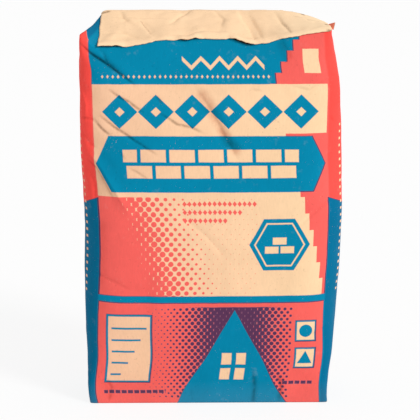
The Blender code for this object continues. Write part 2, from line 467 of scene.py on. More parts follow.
# The folds wander by noise that Blender otherwise seeds from the clock
CRUMPLE_SEED = 3
noise.seed_set(CRUMPLE_SEED)


def crumple(place, folds):
    """Height in millimetres of crumpled paper at a place: flat facets between sharp, wandering folds."""
    wander = noise.noise_vector(place * 6.0) * 0.03
    height = 0.0
    for scale, tall in folds:
        turned = (place + wander) * scale + Vector((scale, 0.0, 0.0))
        way = noise.noise(turned * 0.23) * 4.0
        height += tall * (abs(noise.noise(turned)) - 0.25) * max(-1.0, min(1.0, way))
    return height


# Beside each crease the cells are split once more, so that its fold stays sharp
creased = bmesh.new()
creased.from_mesh(split_mesh)
places = np.array([vertex.co[:] for vertex in creased.verts])
beside_crease = np.zeros(len(places), bool)
for creases, way in ((FRONT_CREASES, -1), (BACK_CREASES, 1)):
    for line, *_ in creases:
        distance, _, _ = near_line(places[:, [0, 2]], line)
        beside_crease |= (distance < CREASE_REACH) & (places[:, 1] * way > 0.02)
cut_edges = [edge for edge in creased.edges if all(beside_crease[vertex.index] for vertex in edge.verts)]
bmesh.ops.subdivide_edges(creased, edges=cut_edges, cuts=1, use_grid_fill=True)
creased.to_mesh(split_mesh)
creased.free()

co = np.empty(len(split_mesh.vertices) * 3)
split_mesh.vertices.foreach_get("co", co)
co = co.reshape(-1, 3)
normals = np.empty(len(co) * 3)
split_mesh.vertices.foreach_get("normal", normals)
normals = normals.reshape(-1, 3)
facing_front = eased((-normals[:, 1] - 0.25) / 0.3)
facing_back = eased((normals[:, 1] - 0.25) / 0.3)
inward = np.zeros(len(co))
worn = np.zeros(len(co))
shade_and_dirt = np.zeros(len(co))
for creases, facing in ((FRONT_CREASES, facing_front), (BACK_CREASES, facing_back)):
    for line, depth, half_width, step, fold_shade_and_dirt in creases:
        inward += facing * crease_depth(co[:, [0, 2]], line, depth, half_width, step)
        distance, _, fade = near_line(co[:, [0, 2]], line)
        rub = min(1.0, max(0.0, depth / 2))
        worn = np.maximum(worn, facing * fade * rub * np.clip(1.0 - distance / 0.003, 0, 1))
        # Painted shade and dirt along each crease
        shade_and_dirt = np.maximum(shade_and_dirt, facing * fade * fold_shade_and_dirt * np.clip(1.25 - distance / 0.0022, 0, 1))
shade_and_smudges = np.zeros(len(co))
for line, half_width, darkness in SHADE_AND_SMUDGES:
    distance, _, _ = near_line(co[:, [0, 2]], line)
    shade_and_smudges = np.maximum(shade_and_smudges, facing_front * darkness * eased(1.0 - distance / half_width))

# The flat tube's own side folds still show down the middle of both sides. They run out in the diagonal folds
# of the square ends.
SIDE_TOP = 0.540
at_side = eased((np.abs(normals[:, 0]) - 0.5) / 0.3)
half_end = END_WIDE / 2
from_middle = np.abs(co[:, 1])
on_low_end = co[:, 2] < half_end
on_high_end = co[:, 2] > SIDE_TOP - half_end
side_folds = (
    (from_middle, ~on_low_end & ~on_high_end),
    (np.abs(half_end - from_middle - co[:, 2]), on_low_end),
    (np.abs(half_end - from_middle - (SIDE_TOP - co[:, 2])), on_high_end),
)
for distance, where in side_folds:
    groove = np.clip(1.0 - distance / 0.006, 0, 1) * at_side * where
    inward += SIDE_FOLD_DEPTH * 0.001 * groove ** 1.2
    worn = np.maximum(worn, 0.8 * np.clip(1.0 - distance / 0.003, 0, 1) * at_side * where)
    # Painted shade and dirt along the side folds
    shade_and_dirt = np.maximum(shade_and_dirt, 0.4 * np.clip(1.0 - distance / 0.003, 0, 1) * at_side * where)

# The tube's two edges overlap down the back and are pasted together
SEAM_EDGE = 0.012
SEAM_STEP = 0.0005
on_back = eased((normals[:, 1] - 0.6) / 0.2)
inward -= SEAM_STEP * on_back * eased((SEAM_EDGE - np.abs(co[:, 0])) / 0.003)

crumpled = np.array([crumple(Vector(place), CRUMPLES) for place in co])
towards_edges = 0.60 + 0.80 * eased((np.abs(co[:, 0]) - 0.10) / 0.07)
at_left_edge = eased((-co[:, 0] - 0.12) / 0.04)
towards_edges += LEFT_EDGE_CRUMPLED * at_left_edge * eased(1.3 - np.abs(co[:, 2] - 0.40) / 0.12)
above_floor = eased((co[:, 2] - 0.002) / 0.03)
outward = (crumpled / 1000 * towards_edges - inward) * above_floor
co += normals * outward[:, None]
split_mesh.vertices.foreach_set("co", co.ravel())

# Nearly black painted shade on the end under its cover, which shows only in the gaps below the cover's loose
# edge
painted_gap_shade = eased((normals[:, 2] - 0.6) / 0.2) * (co[:, 2] > 0.45)
painted_gap_shade *= eased((0.158 - np.abs(co[:, 0] - 0.006)) / 0.006)
for name, amount in (("worn", worn), ("shade_and_dirt", shade_and_dirt), ("shade_and_smudges", shade_and_smudges), ("painted_gap_shade", painted_gap_shade)):
    layer = split_mesh.attributes.new(name, "FLOAT", "POINT")
    layer.data.foreach_set("value", amount.astype(np.float32))
split_mesh.update()
sack.location.z = FLOOR_GAP


def maths(tree, operation, *values):
    """The result of one Math node, worked from sockets and plain numbers."""
    step = tree.nodes.new("ShaderNodeMath")
    step.operation = operation
    for socket, value in zip(step.inputs, values):
        if isinstance(value, bpy.types.NodeSocket):
            tree.links.new(value, socket)
        else:
            socket.default_value = value
    return step.outputs["Value"]


def vector_maths(tree, operation, first, second):
    step = tree.nodes.new("ShaderNodeVectorMath")
    step.operation = operation
    tree.links.new(first, step.inputs[0])
    if isinstance(second, bpy.types.NodeSocket):
        tree.links.new(second, step.inputs[1])
    elif operation == "SCALE":
        step.inputs["Scale"].default_value = second
    else:
        step.inputs[1].default_value = second
    return step.outputs["Vector"]


def noise_field(tree, place, scale, detail=2.0, roughness=0.5, output="Fac"):
    field = tree.nodes.new("ShaderNodeTexNoise")
    field.inputs["Scale"].default_value = scale
    field.inputs["Detail"].default_value = detail
    field.inputs["Roughness"].default_value = roughness
    tree.links.new(place, field.inputs["Vector"])
    return field.outputs[output]


def ramped(tree, value, low, high, low_result, high_result):
    """Maps a value from one range to another, and stops at its ends."""
    ramp = tree.nodes.new("ShaderNodeMapRange")
    ramp.inputs["From Min"].default_value = low
    ramp.inputs["From Max"].default_value = high
    ramp.inputs["To Min"].default_value = low_result
    ramp.inputs["To Max"].default_value = high_result
    tree.links.new(value, ramp.inputs["Value"])
    return ramp.outputs["Result"]


def blended(tree, share, first, second, blend="MIX"):
    mix = tree.nodes.new("ShaderNodeMix")
    mix.data_type = "RGBA"
    mix.blend_type = blend
    sockets = {socket.identifier: socket for socket in mix.inputs}
    for name, value in (("Factor_Float", share), ("A_Color", first), ("B_Color", second)):
        if isinstance(value, bpy.types.NodeSocket):
            tree.links.new(value, sockets[name])
        elif name == "Factor_Float":
            sockets[name].default_value = value
        else:
            sockets[name].default_value = (*value, 1.0)
    return next(socket for socket in mix.outputs if socket.identifier == "Result_Color")


def darkened(tree, share, colour, shade):
    """A colour multiplied by a shade, as far as its share says."""
    return blended(tree, share, colour, blended(tree, 1.0, colour, shade, "MULTIPLY"))


def mark(tree, name):
    """The strength of a mark that is kept on the mesh's points."""
    layer = tree.nodes.new("ShaderNodeAttribute")
    layer.attribute_name = name
    return layer.outputs["Fac"]


def parts_of(tree, place):
    """The X, Y and Z of a place."""
    parts = tree.nodes.new("ShaderNodeSeparateXYZ")
    tree.links.new(place, parts.inputs["Vector"])
    return parts.outputs


# The print is pulled from two plates, red and blue. All places are in millimetres on the flat sheet, across
# from the front panel's middle and up from the bottom fold. A shape is its signed distance, below 0 inside.
PRINT_HALF = 163.0
SIDE_MIDDLE = (END_LONG + END_WIDE) * 500
STRIP_BACK = 2 * SIDE_MIDDLE - PRINT_HALF
HEADER_FROM = 470.0
BASE_TO = 158.0
RULE_TO = 168.0
PLATE_TRAP = 0.5

plates = bpy.data.node_groups.new("printing plates", "ShaderNodeTree")
for name in ("Across", "Up"):
    plates.interface.new_socket(name, in_out="INPUT", socket_type="NodeSocketFloat")
for name in ("Red", "Blue"):
    plates.interface.new_socket(name, in_out="OUTPUT", socket_type="NodeSocketFloat")
plate_in = plates.nodes.new("NodeGroupInput")
plate_out = plates.nodes.new("NodeGroupOutput")


def cut_plate(operation, *values):
    return maths(plates, operation, *values)


def joined(*shapes):
    result = shapes[0]
    for shape in shapes[1:]:
        result = cut_plate("MINIMUM", result, shape)
    return result


def common(*shapes):
    result = shapes[0]
    for shape in shapes[1:]:
        result = cut_plate("MAXIMUM", result, shape)
    return result


def without(shape, *holes):
    return common(shape, *(cut_plate("MULTIPLY", hole, -1.0) for hole in holes))


def grown(shape, margin):
    return cut_plate("SUBTRACT", shape, margin)


def from_centre(value, centre):
    return cut_plate("ABSOLUTE", cut_plate("SUBTRACT", value, centre))


def box(at, left, right, low, high):
    across = grown(from_centre(at[0], (left + right) / 2), (right - left) / 2)
    up = grown(from_centre(at[1], (low + high) / 2), (high - low) / 2)
    return common(across, up)


def disc(at, across, up, radius):
    x, y = cut_plate("SUBTRACT", at[0], across), cut_plate("SUBTRACT", at[1], up)
    squares = cut_plate("MULTIPLY_ADD", x, x, cut_plate("MULTIPLY", y, y))
    return grown(cut_plate("SQRT", squares), radius)


def hexagon(at, across, up, half_tall):
    x, y = from_centre(at[0], across), from_centre(at[1], up)
    slanted = cut_plate("MULTIPLY_ADD", x, math.cos(math.pi / 6), cut_plate("MULTIPLY", y, 0.5))
    return grown(common(slanted, y), half_tall)


def straight_sided(at, corners):
    """A shape with straight sides and no hollow, its corners given clockwise."""
    sides = []
    for start, end in zip(corners, corners[1:] + corners[:1]):
        run = (Vector(end) - Vector(start)).normalized()
        offset = run.y * start[0] - run.x * start[1]
        along = cut_plate("MULTIPLY_ADD", at[1], run.x, offset)
        sides.append(cut_plate("MULTIPLY_ADD", at[0], -run.y, along))
    return common(*sides)


def diamonds(along, away, first, pitch, count, half_long, half_tall):
    """A row of equal diamonds, set out along one way from the first one's middle."""
    place = cut_plate("SUBTRACT", along, first - pitch / 2)
    nearest = cut_plate("SNAP", place, pitch)
    nearest = cut_plate("MINIMUM", cut_plate("MAXIMUM", nearest, 0.0), pitch * (count - 1))
    x = from_centre(cut_plate("SUBTRACT", place, nearest), pitch / 2)
    slope = half_long / half_tall
    reach = math.hypot(1.0, slope)
    across = cut_plate("MULTIPLY_ADD", cut_plate("ABSOLUTE", away), slope, x)
    return cut_plate("DIVIDE", grown(across, half_long), reach)


def brickwork(at, left, low, brick, course, joint):
    """Bricks in running bond, without end: half a brick's shift in every other course."""
    up = cut_plate("SUBTRACT", at[1], low)
    odd = cut_plate("PINGPONG", cut_plate("FLOOR", cut_plate("DIVIDE", up, course)), 1.0)
    across = cut_plate("MULTIPLY_ADD", odd, brick / 2, cut_plate("SUBTRACT", at[0], left))
    upright = cut_plate("SUBTRACT", joint / 2, cut_plate("PINGPONG", across, brick / 2))
    level = cut_plate("SUBTRACT", joint / 2, cut_plate("PINGPONG", up, course / 2))
    return common(upright, level)


def dots(at, pitch, row, radius):
    """A halftone: staggered rows of dots whose radius changes over the sheet, and which may run together."""
    distances = []
    for aside, raised in ((0.0, 0.0), (pitch / 2, row)):
        x = cut_plate("PINGPONG", cut_plate("ADD", at[0], aside), pitch / 2)
        y = cut_plate("PINGPONG", cut_plate("ADD", at[1], raised), row)
        distances.append(cut_plate("SQRT", cut_plate("MULTIPLY_ADD", x, x, cut_plate("MULTIPLY", y, y))))
    return cut_plate("SUBTRACT", joined(*distances), radius)


blue_at = (plate_in.outputs["Across"], plate_in.outputs["Up"])
red_at = (cut_plate("ADD", blue_at[0], 0.4), cut_plate("SUBTRACT", blue_at[1], 0.3))
far_up = 900.0
far_down = -200.0


def mirrored(at):
    return cut_plate("ABSOLUTE", at[0]), at[1]


def side_stripe(at):
    """A kraft stripe down the middle of each side, and ladders of short kraft bars beside it."""
    middle = box(mirrored(at), SIDE_MIDDLE - 10, SIDE_MIDDLE + 10, 76, 428)
    ladder = common(
        grown(from_centre(from_centre(mirrored(at)[0], SIDE_MIDDLE), 27), 3.5),
        grown(cut_plate("PINGPONG", at[1], 5.0), 2.2),
        grown(from_centre(at[1], 290), 122),
    )
    return joined(middle, ladder)


def header_steps(at):
    """The stepped edge between the header's blue and its red end: below 0 on the blue side."""
    step = cut_plate("FLOOR", cut_plate("DIVIDE", cut_plate("SUBTRACT", at[1], HEADER_FROM), 15.0))
    return cut_plate("MULTIPLY_ADD", step, -9.0, cut_plate("SUBTRACT", at[0], 92.0))


def pointed_band(at):
    return straight_sided(at, [(-160, 359), (-141, 398), (141, 398), (160, 359), (141, 320), (-141, 320)])


def gable(at):
    return straight_sided(at, [(-54, -15), (34, 148), (122, -15)])


def label_panel(at):
    return box(at, -150, -84, 34, 140)


def figure_frames(at):
    return joined(box(at, 122, 152, 98, 130), box(at, 122, 152, 56, 88))


# Header: solid blue up to a stepped red end, with a kraft zigzag and a row of small diamonds
zigzag = cut_plate("MULTIPLY_ADD", cut_plate("PINGPONG", blue_at[0], 13.0), -1.0, blue_at[1])
zigzag = common(grown(from_centre(zigzag, 492.0), 3.6), box(blue_at, -39, 78, 480, 540))
small_row = diamonds(blue_at[0], cut_plate("SUBTRACT", blue_at[1], 480.0), -148, 7.2, 33, 2.3, 3.2)
header = box(blue_at, -PRINT_HALF, 0, HEADER_FROM, far_up)
header = joined(header, common(box(blue_at, -1, PRINT_HALF, HEADER_FROM, far_up), header_steps(blue_at)))
back_header = box(mirrored(blue_at), STRIP_BACK, 600, HEADER_FROM, far_up)
ear = straight_sided(blue_at, [(-162, 526), (-176, 567), (-176, 700), (-162, 700)])
header = joined(without(header, zigzag, small_row), back_header, ear)

# Title row: six big diamonds. Below it a pointed band with brickwork
title_up = cut_plate("SUBTRACT", blue_at[1], 432.0)
title = diamonds(blue_at[0], title_up, -125, 50.0, 6, 24.0, 23.0)
title = without(title, diamonds(blue_at[0], title_up, -125, 50.0, 6, 7.5, 7.0))
bricks = common(brickwork(blue_at, -120, 337, 40, 22.5, 4.2), box(blue_at, -122, 122, 337, 382))
band = without(pointed_band(blue_at), bricks)

# Field: a blue hexagon with three kraft bricks, over a blue rule
badge_line = without(hexagon(blue_at, 92, 244, 32), hexagon(blue_at, 92, 244, 29))
badge_bricks = joined(
    box(blue_at, 71, 91, 231, 242),
    box(blue_at, 93, 113, 231, 242),
    box(blue_at, 82, 102, 244, 255),
)
badge = without(hexagon(blue_at, 92, 244, 37), badge_line, badge_bricks)
rule = box(mirrored(blue_at), -10, 600, BASE_TO, RULE_TO)

# Base: a blue gable with four windows, a ruled label panel and two small framed figures
windows = joined(*(box(blue_at, x, x + 15, z, z + 19) for x in (16, 37) for z in (38, 62)))
gable_front = without(gable(blue_at), windows)
label = without(label_panel(blue_at), grown(label_panel(blue_at), -2.4))
label_lines = [box(blue_at, -142, -92 - 9 * i, 118 - 18 * i, 120 - 18 * i) for i in range(5)]
frames = without(figure_frames(blue_at), grown(figure_frames(blue_at), -1.8))
figures = joined(disc(blue_at, 137, 114, 9), straight_sided(blue_at, [(127, 64), (137, 82), (147, 64)]))
dashes = cut_plate("SUBTRACT", 1.5, cut_plate("PINGPONG", blue_at[0], 4.5))
dashes = common(dashes, joined(box(blue_at, -150, -62, 17, 21), box(blue_at, 108, 152, 31, 35)))
shade_radius = ramped(plates, from_centre(blue_at[0], 34), 24, 112, 3.7, 0.0)
shade_dots = common(dots(blue_at, 8.8, 5.3, shade_radius), box(blue_at, -84, 116, 8, 151))
shade_dots = without(shade_dots, gable(blue_at))

# Sides: blue strips below, red above, with kraft stripes and a column of diamonds down the middle
strip_split = cut_plate("MULTIPLY_ADD", from_centre(mirrored(blue_at)[0], SIDE_MIDDLE), -0.35, blue_at[1])
strip = box(mirrored(blue_at), PRINT_HALF, STRIP_BACK, far_down, far_up)
low_strip = without(common(strip, grown(strip_split, 290)), side_stripe(blue_at))
column_away = cut_plate("SUBTRACT", mirrored(blue_at)[0], SIDE_MIDDLE)
column = diamonds(blue_at[1], column_away, 96, 26.0, 13, 10.5, 8.0)

blue_plate = joined(
    header, title, band, badge, rule, gable_front, label, *label_lines, frames, figures, dashes, shade_dots,
    low_strip, column,
)

# Red plate: high strips, stepped brick ends that one side fades from in halftone, and the base
red_strip = box(mirrored(red_at), PRINT_HALF, STRIP_BACK, far_down, far_up)
red_split = cut_plate("MULTIPLY_ADD", from_centre(mirrored(red_at)[0], SIDE_MIDDLE), -0.35, red_at[1])
high_strip = common(red_strip, cut_plate("SUBTRACT", 290, red_split))
high_strip = without(high_strip, side_stripe(red_at), grown(ear, 1.0))
courses = cut_plate("FLOOR", cut_plate("DIVIDE", cut_plate("SUBTRACT", red_at[1], RULE_TO), 24.0))
left_rack = cut_plate("MULTIPLY_ADD", courses, 8.0, cut_plate("ADD", red_at[0], PRINT_HALF - 58))
fade_radius = ramped(plates, left_rack, 0.0, 118.0, 6.4, 0.0)
left_field = box(red_at, -PRINT_HALF - 1, 60, RULE_TO, 312)
fade_dots = common(dots(red_at, 12.0, 7.2, fade_radius), left_field)
left_rack = common(left_rack, left_field)
right_rack = cut_plate("MULTIPLY_ADD", courses, -6.0, cut_plate("SUBTRACT", PRINT_HALF - 4, red_at[0]))
right_rack = common(right_rack, box(red_at, 100, PRINT_HALF + 1, RULE_TO, 401))
right_rack = without(right_rack, pointed_band(red_at))
header_end = without(box(red_at, 60, PRINT_HALF + 1, HEADER_FROM, far_up), header_steps(red_at))
header_end = without(header_end, box(red_at, 132, 156, 484, 518))
red_rows = [
    diamonds(red_at[0], cut_plate("SUBTRACT", red_at[1], 303 - 12 * i), -40, 7.0, 15 - 3 * i, 2.5, 3.2)
    for i in range(3)
]
base = box(red_at, -PRINT_HALF, PRINT_HALF, far_down, BASE_TO)
base = without(base, gable(red_at), label_panel(red_at), figure_frames(red_at))
back_base = box(mirrored(red_at), STRIP_BACK, 600, far_down, BASE_TO)
red_plate = joined(high_strip, left_rack, fade_dots, right_rack, header_end, *red_rows, base, back_base)

for plate, name in ((red_plate, "Red"), (blue_plate, "Blue")):
    ink = ramped(plates, plate, PLATE_TRAP - 0.35, PLATE_TRAP + 0.35, 1.0, 0.0)
    plates.links.new(ink, plate_out.inputs[name])

# Kraft paper: long pale brown fibres, cloudy in the mass, with specks of bark and fine handling wrinkles
kraft = bpy.data.node_groups.new("kraft paper", "ShaderNodeTree")
for name, kind in (("Place", "Vector"), ("Clean", "Color"), ("Stained", "Color"), ("Dust", "Float")):
    kraft.interface.new_socket(name, in_out="INPUT", socket_type="NodeSocket" + kind)
for name, kind in (("Paper", "Color"), ("Tone", "Float"), ("Roughness", "Float"), ("Height", "Float")):
    kraft.interface.new_socket(name, in_out="OUTPUT", socket_type="NodeSocket" + kind)
kraft_in = kraft.nodes.new("NodeGroupInput")
kraft_out = kraft.nodes.new("NodeGroupOutput")
paper_place = kraft_in.outputs["Place"]
fibre_place = vector_maths(kraft, "MULTIPLY", paper_place, (1.0, 1.0, 0.22))
clouds = noise_field(kraft, paper_place, 13.0, 4.0, 0.6)
fibres = noise_field(kraft, fibre_place, 520.0, 3.0, 0.6)
specks = ramped(kraft, noise_field(kraft, paper_place, 300.0, 1.0), 0.70, 0.78, 0.0, 1.0)
stains = ramped(kraft, noise_field(kraft, paper_place, 5.0, 5.0, 0.7), 0.56, 0.78, 0.0, 1.0)
cloudy = ramped(kraft, clouds, 0.3, 0.7, 0.94, 1.04)
tone = maths(kraft, "MULTIPLY", cloudy, ramped(kraft, fibres, 0.3, 0.7, 0.96, 1.03))
tone = maths(kraft, "MULTIPLY", tone, maths(kraft, "MULTIPLY_ADD", specks, -0.16, 1.0))
CEMENT_DUST = (0.62, 0.58, 0.53)
paper_colour = blended(
    kraft, maths(kraft, "MULTIPLY", stains, 0.5), kraft_in.outputs["Clean"], kraft_in.outputs["Stained"]
)
paper_colour = blended(kraft, 1.0, paper_colour, tone, "MULTIPLY")
dusty = maths(kraft, "MULTIPLY", kraft_in.outputs["Dust"], ramped(kraft, clouds, 0.35, 0.7, 0.2, 1.0))
paper_colour = blended(kraft, dusty, paper_colour, CEMENT_DUST)
wrinkles = kraft.nodes.new("ShaderNodeTexNoise")
wrinkles.noise_type = "RIDGED_MULTIFRACTAL"
wrinkles.inputs["Scale"].default_value = 38.0
wrinkles.inputs["Detail"].default_value = 3.0
kraft.links.new(paper_place, wrinkles.inputs["Vector"])
paper_height = maths(kraft, "MULTIPLY", wrinkles.outputs["Fac"], 0.35)
paper_height = maths(kraft, "MULTIPLY_ADD", fibres, 0.12, paper_height)
for value, name in (
    (paper_colour, "Paper"),
    (tone, "Tone"),
    (ramped(kraft, fibres, 0.3, 0.7, 0.86, 0.74), "Roughness"),
    (paper_height, "Height"),
):
    kraft.links.new(value, kraft_out.inputs[name])


def start_paper(name, clean, stained, dust):
    """A new paper material, its tree, its shader, its kraft group and the object's places that feed it."""
    made = bpy.data.materials.new(name)
    made.use_nodes = True
    tree = made.node_tree
    shader = tree.nodes["Principled BSDF"]
    shader.inputs["Specular IOR Level"].default_value = 0.04
    sheet = tree.nodes.new("ShaderNodeGroup")
    sheet.node_tree = kraft
    sheet.inputs["Clean"].default_value = (*clean, 1.0)
    sheet.inputs["Stained"].default_value = (*stained, 1.0)
    sheet.inputs["Dust"].default_value = dust
    place = tree.nodes.new("ShaderNodeTexCoord").outputs["Object"]
    tree.links.new(place, sheet.inputs["Place"])
    bump = tree.nodes.new("ShaderNodeBump")
    bump.inputs["Strength"].default_value = 0.6
    bump.inputs["Distance"].default_value = 0.0011
    tree.links.new(sheet.outputs["Height"], bump.inputs["Height"])
    tree.links.new(bump.outputs["Normal"], shader.inputs["Normal"])
    return made, tree, shader, sheet, place


# Printed kraft: the two inks lie on the paper, thin in the grain, deeper in colour on the side strips, worn
# off along creases. The creases are darkened with painted shade and some dirt, dents and folds with painted
# shade and hand smudges, the front's left part with painted shade, and the end under the cover with painted
# shade.
INK_BLUE = (0.0, 0.216, 0.368)
INK_RED = (0.85, 0.120, 0.103)
INK_BOTH = (0.10, 0.035, 0.09)
STRIP_BLUE = (0.0, 0.138, 0.268)
STRIP_RED = (0.97, 0.079, 0.064)
PRINTED_CLEAN = (0.89, 0.612, 0.364)
PRINTED_STAINED = (0.76, 0.48, 0.275)
PAINTED_SHADE_AT_LEFT = (0.955, 0.84, 0.885)
CREASE_SHADE_AND_DIRT = (0.34, 0.30, 0.28)
SHADE_AND_HAND_DIRT = (0.66, 0.42, 0.38)
PAINTED_GAP_SHADE = (0.045, 0.028, 0.020)
SEAM_PASTE = (0.50, 0.40, 0.33)
printed, tree, shader, sheet, place = start_paper("printed kraft", PRINTED_CLEAN, PRINTED_STAINED, 0.03)
sheet_places = tree.nodes.new("ShaderNodeUVMap")
sheet_places.uv_map = "sheet"
millimetres = vector_maths(tree, "SUBTRACT", sheet_places.outputs["UV"], (MAP_MIDDLE, MAP_FLOOR, 0))
millimetres = vector_maths(tree, "SCALE", millimetres, 1000.0)
wobble = vector_maths(tree, "SUBTRACT", noise_field(tree, place, 330.0, 2.0, output="Color"), (0.5, 0.5, 0.5))
waver = vector_maths(tree, "SUBTRACT", noise_field(tree, place, 30.0, 1.0, output="Color"), (0.5, 0.5, 0.5))
millimetres = vector_maths(tree, "ADD", millimetres, vector_maths(tree, "SCALE", wobble, 0.5))
millimetres = vector_maths(tree, "ADD", millimetres, vector_maths(tree, "SCALE", waver, 1.2))
on_sheet = parts_of(tree, millimetres)
plate_print = tree.nodes.new("ShaderNodeGroup")
plate_print.node_tree = plates
tree.links.new(on_sheet["X"], plate_print.inputs["Across"])
tree.links.new(on_sheet["Y"], plate_print.inputs["Up"])
scuffs = noise_field(tree, place, 150.0, 5.0, 0.75)
handled = ramped(tree, noise_field(tree, place, 14.0, 2.0), 0.52, 0.72, 0.0, 0.06)
pinholes = maths(tree, "SUBTRACT", noise_field(tree, place, 800.0, 1.0), handled)
pinholes = ramped(tree, pinholes, 0.16, 0.22, 0.5, 1.0)
rubbed = maths(tree, "MULTIPLY_ADD", mark(tree, "worn"), 0.16, scuffs)
rubbed = ramped(tree, rubbed, 0.74, 0.84, 1.0, 0.5)
lying = maths(tree, "MULTIPLY", pinholes, rubbed)
red_ink = maths(tree, "MULTIPLY", plate_print.outputs["Red"], lying)
blue_ink = maths(tree, "MULTIPLY", plate_print.outputs["Blue"], lying)
from_front_middle = maths(tree, "ABSOLUTE", on_sheet["X"])
side_away = maths(tree, "ABSOLUTE", maths(tree, "SUBTRACT", from_front_middle, SIDE_MIDDLE))
on_strip = ramped(tree, side_away, SIDE_MIDDLE - PRINT_HALF - 3, SIDE_MIDDLE - PRINT_HALF, 1.0, 0.0)
red_tone = blended(tree, on_strip, INK_RED, STRIP_RED)
blue_tone = blended(tree, on_strip, INK_BLUE, STRIP_BLUE)
inks = blended(tree, blue_ink, red_tone, blue_tone)
inks = blended(tree, maths(tree, "MULTIPLY", red_ink, blue_ink), inks, INK_BOTH)
inks = blended(tree, 1.0, inks, sheet.outputs["Tone"], "MULTIPLY")
chalky = ramped(tree, noise_field(tree, place, 55.0, 5.0, 0.7), 0.60, 0.76, 0.0, 0.09)
dusty_foot = ramped(tree, on_sheet["Y"], 2.0, 36.0, 0.035, 0.0)
inks = blended(tree, maths(tree, "ADD", chalky, dusty_foot), inks, CEMENT_DUST)
# Painted shade: the paper grows darker towards the left
painted_left_shade = ramped(tree, parts_of(tree, place)["X"], -0.15, 0.13, 1.0, 0.0)
paper_colour = darkened(tree, painted_left_shade, sheet.outputs["Paper"], PAINTED_SHADE_AT_LEFT)
inked = maths(tree, "MAXIMUM", red_ink, blue_ink)
colour = blended(tree, inked, paper_colour, inks)
broken = ramped(tree, noise_field(tree, place, 120.0, 3.0, 0.6), 0.34, 0.56, 0.35, 1.0)
# Painted shade and dirt darken the creases and side folds
crease_shade_and_dirt = maths(tree, "MULTIPLY", mark(tree, "shade_and_dirt"), maths(tree, "MULTIPLY", broken, 0.88))
colour = darkened(tree, crease_shade_and_dirt, colour, CREASE_SHADE_AND_DIRT)
patchy = ramped(tree, noise_field(tree, place, 45.0, 4.0, 0.65), 0.30, 0.62, 0.25, 1.0)
# Painted shade at dents, folds and the left edge, and hand smudges, made blotchy
colour = darkened(tree, maths(tree, "MULTIPLY", mark(tree, "shade_and_smudges"), patchy), colour, SHADE_AND_HAND_DIRT)
# Painted shade, nearly black, on the end under the cover
colour = blended(tree, mark(tree, "painted_gap_shade"), colour, PAINTED_GAP_SHADE)

# The pasted seam down the back shows as the edge of the upper layer, with a darker line of paste beside it
seam_away = maths(tree, "SUBTRACT", GIRTH * 500 - SEAM_EDGE * 1000, from_front_middle)
seam_line = ramped(tree, maths(tree, "ABSOLUTE", seam_away), 0.3, 1.1, 0.55, 0.0)
colour = darkened(tree, seam_line, colour, SEAM_PASTE)
tree.links.new(colour, shader.inputs["Base Color"])
roughness = maths(tree, "MULTIPLY_ADD", inked, -0.22, sheet.outputs["Roughness"])
tree.links.new(roughness, shader.inputs["Roughness"])
split_mesh.materials.append(printed)
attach(sack, "root")
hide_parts("filled_sack")

# The cover of the top end is one plain kraft sheet, pasted over the folded end from its left edge to the
# valve. Its front edge is only pasted in places, and lifts between them.
COVER_LEFT = -0.1537
COVER_RIGHT = 0.1652
COVER_CELLS_LONG = 150
COVER_CELLS_WIDE = 56
COVER_OVER_RIDGE = 0.0015
COVER_OVER_FRONT = 0.0020
COVER_CLEAR = 0.0005
COVER_PAPER = 0.0005
COVER_CRUMPLES = ((13.0, 4.0), (31.0, 2.7), (68.0, 1.0))
COVER_FREE = 0.0022
SLEEVE_THICK = 0.0012
SLEEVE_FROM = 0.146
SLEEVE_FRONT = -0.040
SLEEVE_BACK = 0.014
# Where the front edge is loose: the middle in x, how far it reaches to both sides, and how high it lifts
LIFTED = ((-0.030, 0.020, 0.0040), (0.044, 0.022, 0.0050), (-0.140, 0.028, 0.0036), (0.104, 0.014, 0.0012))
# Creases across the top end: a line of (x, share of the way back), its depth, half width and step as above
COVER_CREASES = (
    (((0.040, 0.99), (0.045, 0.70), (0.054, 0.40), (0.060, 0.05)), 3.0, 8, 4.4),
    (((0.059, 0.72), (0.072, 0.08)), 2.0, 8, -2.4),
    (((-0.096, 0.60), (-0.088, 0.40), (-0.082, 0.20)), 2.6, 9, 3.4),
    (((0.094, 0.84), (0.101, 0.50), (0.111, 0.10)), 1.7, 8, -2.2),
    (((-0.139, 0.78), (-0.100, 0.70), (-0.055, 0.64)), 1.2, 5, 1.4),
    (((-0.052, 0.50), (-0.038, 0.75), (-0.023, 0.98)), 2.0, 7, 2.8),
    (((-0.044, 0.12), (-0.010, 0.20), (0.035, 0.16)), 2.0, 8, 2.8),
    (((0.125, 0.90), (0.140, 0.55), (0.160, 0.45)), 1.4, 6, 1.6),
    (((-0.150, 0.35), (-0.120, 0.30), (-0.096, 0.10)), 1.4, 6, 2.0),
    (((0.008, 0.90), (0.020, 0.60), (0.016, 0.30)), 1.4, 9, -2.0),
    (((-0.126, 0.95), (-0.120, 0.70), (-0.108, 0.55)), 1.4, 8, -2.0),
)
# Painted shade and dirt on the cover, as specks, along creases and in the valve's mouth: a line of (x, share
# of the way back), its half width in metres, how dark it is
COVER_SHADE_AND_DIRT = (
    (((0.131, 0.93), (0.133, 0.88)), 0.0024, 1.0),
    (((0.160, 0.44), (0.162, 0.38)), 0.0026, 1.0),
    (((0.160, 0.01), (0.166, 0.00)), 0.0018, 0.9),
    (((-0.152, 0.90), (-0.143, 0.93)), 0.0022, 0.8),
    (((0.120, 0.72), (0.146, 0.66)), 0.0012, 0.35),
    (((-0.096, 0.60), (-0.088, 0.40), (-0.082, 0.20)), 0.0016, 0.35),
    (((0.101, 0.50), (0.111, 0.10)), 0.0016, 0.35),
)

sack_shell = BVHTree.FromPolygons(
    [tuple(vertex.co + sack.location) for vertex in split_mesh.vertices],
    [tuple(face.vertices) for face in split_mesh.polygons],
)


